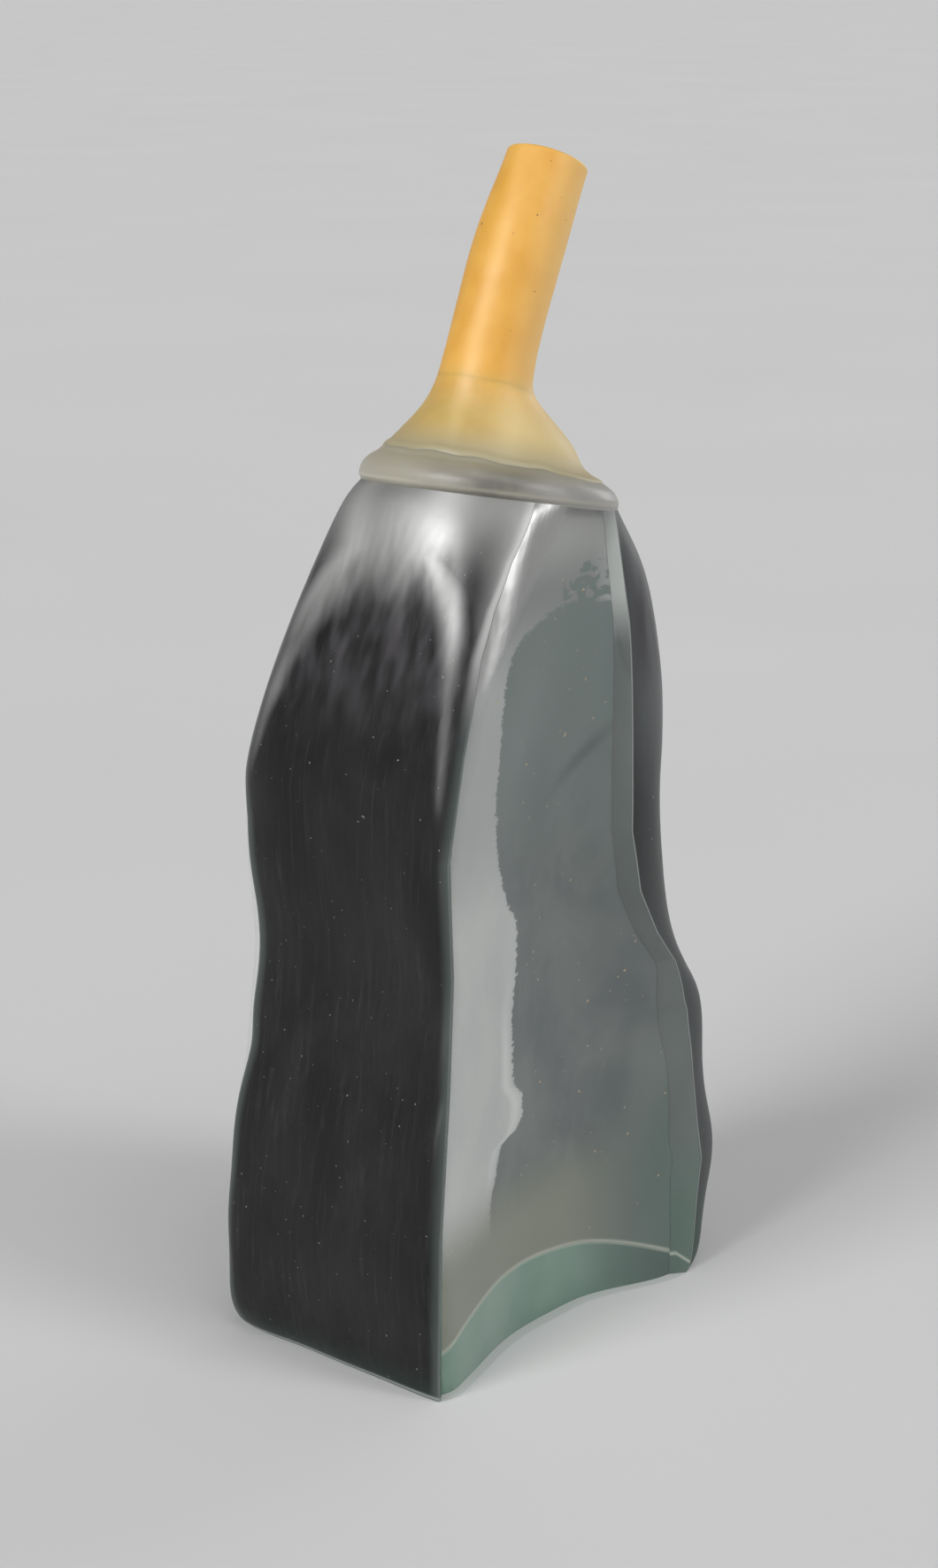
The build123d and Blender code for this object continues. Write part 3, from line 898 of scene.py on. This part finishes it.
def straw_to_amber(p):
    """The cone's straw turns to the neck's amber round where they meet; both are painted paler along two
    sides, as painted light on one flank and as a painted highlight stripe on the other.

    Also gives the height above the neck's root.
    """
    cloud = p.noise(16.0, 3.0, 0.5)
    above = above_plane(p, ROOT_X_MM, ROOT_Z_MM, NECK_ROOT_TILT)
    to_amber = p.step(above, -15.0, 7.0)
    straw = p.mottle(cloud, rgb(189, 159, 90), rgb(200, 170, 101))
    amber = p.mottle(cloud, rgb(219, 160, 60), rgb(228, 173, 75))
    tone = p.mix(to_amber, straw, amber)
    paler = p.mix(to_amber, rgb(224, 202, 146), rgb(252, 204, 124))
    off_axis = p.less(p.less(p.x, ROOT_X_MM), p.times(p.less(p.z, ROOT_Z_MM), NECK_LEAN))
    side = to_side(p, off_axis)
    # Painted light: one flank is painted paler.
    tone = p.mix(p.step(side, 2.0, 15.0, 0.0, 0.75), tone, paler)
    # Painted highlight: a narrow paler stripe on the other flank.
    tone = p.mix(p.times(p.band(side, -7.5, 4.5), 0.22), tone, paler)
    return tone, above


def cone_tone(p):
    tone, above = straw_to_amber(p)
    return p.mix(p.step(above, -14.0, -30.0), tone, rgb(162, 154, 126))


def neck_tone(p):
    tone, _ = straw_to_amber(p)
    specks = p.step(p.noise(1.6, 0.0), 0.15, 0.13)
    return p.mix(specks, tone, rgb(90, 60, 30))


# ---------------------------------------------------------------- build
casing = casing_glass("smoke_black_satin"), rim_glass("smoke_edge")
window = (window_glass("polished_window"),)
make_wall("front_window", "polished_window_glass", window, grain=False)
make_wall("right_side_casing", "smoke_black_satin_glass", casing, grain=True)
make_wall("back_window", "polished_window_glass", window, grain=False)
make_wall("left_side_casing", "smoke_black_satin_glass", casing, grain=True)
make_upper({
    "shoulder_collar": satin_glass("grey_beige_satin", collar_tone, (0.008, 0.007, 0.006), 0.6, 0.36),
    "neck_cone": satin_glass("straw_satin", cone_tone, (0.006, 0.004, 0.002), 0.35, 0.46),
    "neck_tube": satin_glass("amber_opal", neck_tone, (0.006, 0.004, 0.002), 0.35, 0.46),
})
make_lining(lining_glass("smoke_film"))
foot = frame["nodes"]["base_slab"]
foot.data.materials.clear()
foot.data.materials.append(foot_glass("sea_green"))

# ---------------------------------------------------------------- camera
CAMERA_AZIMUTH = math.radians(50.84)  # 0 looks along +Y
CAMERA_PITCH = math.radians(15.0)
CAMERA_DISTANCE = 1.13
CAMERA_TARGET = Vector((0.0025, 0.0014, 0.1951))
LENS = 73.14

forward = Vector((
    math.sin(CAMERA_AZIMUTH) * math.cos(CAMERA_PITCH),
    math.cos(CAMERA_AZIMUTH) * math.cos(CAMERA_PITCH),
    -math.sin(CAMERA_PITCH),
))
camera = bpy.data.objects.new("camera", bpy.data.cameras.new("camera"))
camera.data.lens = LENS
camera.data.sensor_width = 36.0
camera.location = CAMERA_TARGET - forward * CAMERA_DISTANCE
camera.rotation_euler = forward.to_track_quat("-Z", "Y").to_euler()
bpy.context.scene.collection.objects.link(camera)
bpy.context.scene.camera = camera


# ---------------------------------------------------------------- floor and light
FLOOR_RADIUS = 60.0
FLOOR_DROP = 0.03 * MM
BACKDROP = 0.54  # the studio's low grey behind everything, as a light
BACKDROP_SEEN = 0.6  # the same as the camera sees it, like the far floor
BACKDROP_TOP = 0.45  # sine of the elevation where the backdrop has given way to the room
ROOM = 0.16  # the darker room above it
SOFT_LIGHTS = (  # name, azimuth, elevation and spread in degrees, strength
    ("front_box", -10.0, 33.0, 20.0, 0.72),
    ("left_box", 93.0, 25.0, 28.0, 2.05),
    ("right_box", -88.0, 14.0, 24.0, 0.36),
    ("top_box", 20.0, 66.0, 40.0, 0.66),
)


def soft_light(name, azimuth_deg, elevation_deg, spread_deg, strength):
    """A distant round softbox; its light travels along an azimuth measured as the camera's is."""
    azimuth, elevation = math.radians(azimuth_deg), math.radians(elevation_deg)
    travel = Vector((
        math.sin(azimuth) * math.cos(elevation),
        math.cos(azimuth) * math.cos(elevation),
        -math.sin(elevation),
    ))
    data = bpy.data.lights.new(name, "SUN")
    data.angle = math.radians(spread_deg)
    data.energy = strength
    light = bpy.data.objects.new(name, data)
    light.rotation_euler = travel.to_track_quat("-Z", "Y").to_euler()
    bpy.context.scene.collection.objects.link(light)


def floor():
    """A wide round sheet of paper just under the bottle."""
    turns = 64
    angles = [math.tau * turn / turns for turn in range(turns)]
    rim = [(FLOOR_RADIUS * math.cos(a), FLOOR_RADIUS * math.sin(a), -FLOOR_DROP) for a in angles]
    faces = [(0, 1 + turn, 1 + (turn + 1) % turns) for turn in range(turns)]
    mesh = bpy.data.meshes.new("table")
    mesh.from_pydata([(0, 0, -FLOOR_DROP)] + rim, [], faces)
    piece = bpy.data.objects.new("table", mesh)
    bpy.context.scene.collection.objects.link(piece)
    p = Paint("table_paper")
    tone = p.mix(p.noise(400.0, 3.0), rgb(216, 216, 216), rgb(222, 222, 222))
    mesh.materials.append(p.finish(p.glass(Base_Color=tone, Roughness=0.9, Specular_IOR_Level=0.1)))


def studio():
    """A world that is brighter low down, where the backdrop stands, than in the room above."""
    world = bpy.data.worlds.new("studio")
    world.use_nodes = True
    nodes, links = world.node_tree.nodes, world.node_tree.links
    background = nodes["Background"]
    background.inputs["Color"].default_value = (1, 1, 1, 1)
    split = nodes.new("ShaderNodeSeparateXYZ")
    links.new(nodes.new("ShaderNodeTexCoord").outputs["Generated"], split.inputs[0])
    room = nodes.new("ShaderNodeMapRange")
    room.inputs[2].default_value = BACKDROP_TOP
    room.inputs[3].default_value, room.inputs[4].default_value = BACKDROP, ROOM
    links.new(split.outputs[2], room.inputs[0])
    strength = nodes.new("ShaderNodeMix")
    strength.inputs[3].default_value = BACKDROP_SEEN
    links.new(nodes.new("ShaderNodeLightPath").outputs["Is Camera Ray"], strength.inputs[0])
    links.new(room.outputs[0], strength.inputs[2])
    links.new(strength.outputs[0], background.inputs["Strength"])
    bpy.context.scene.world = world


floor()
studio()
bpy.context.scene.view_settings.view_transform = "Standard"
for light in SOFT_LIGHTS:
    soft_light(*light)
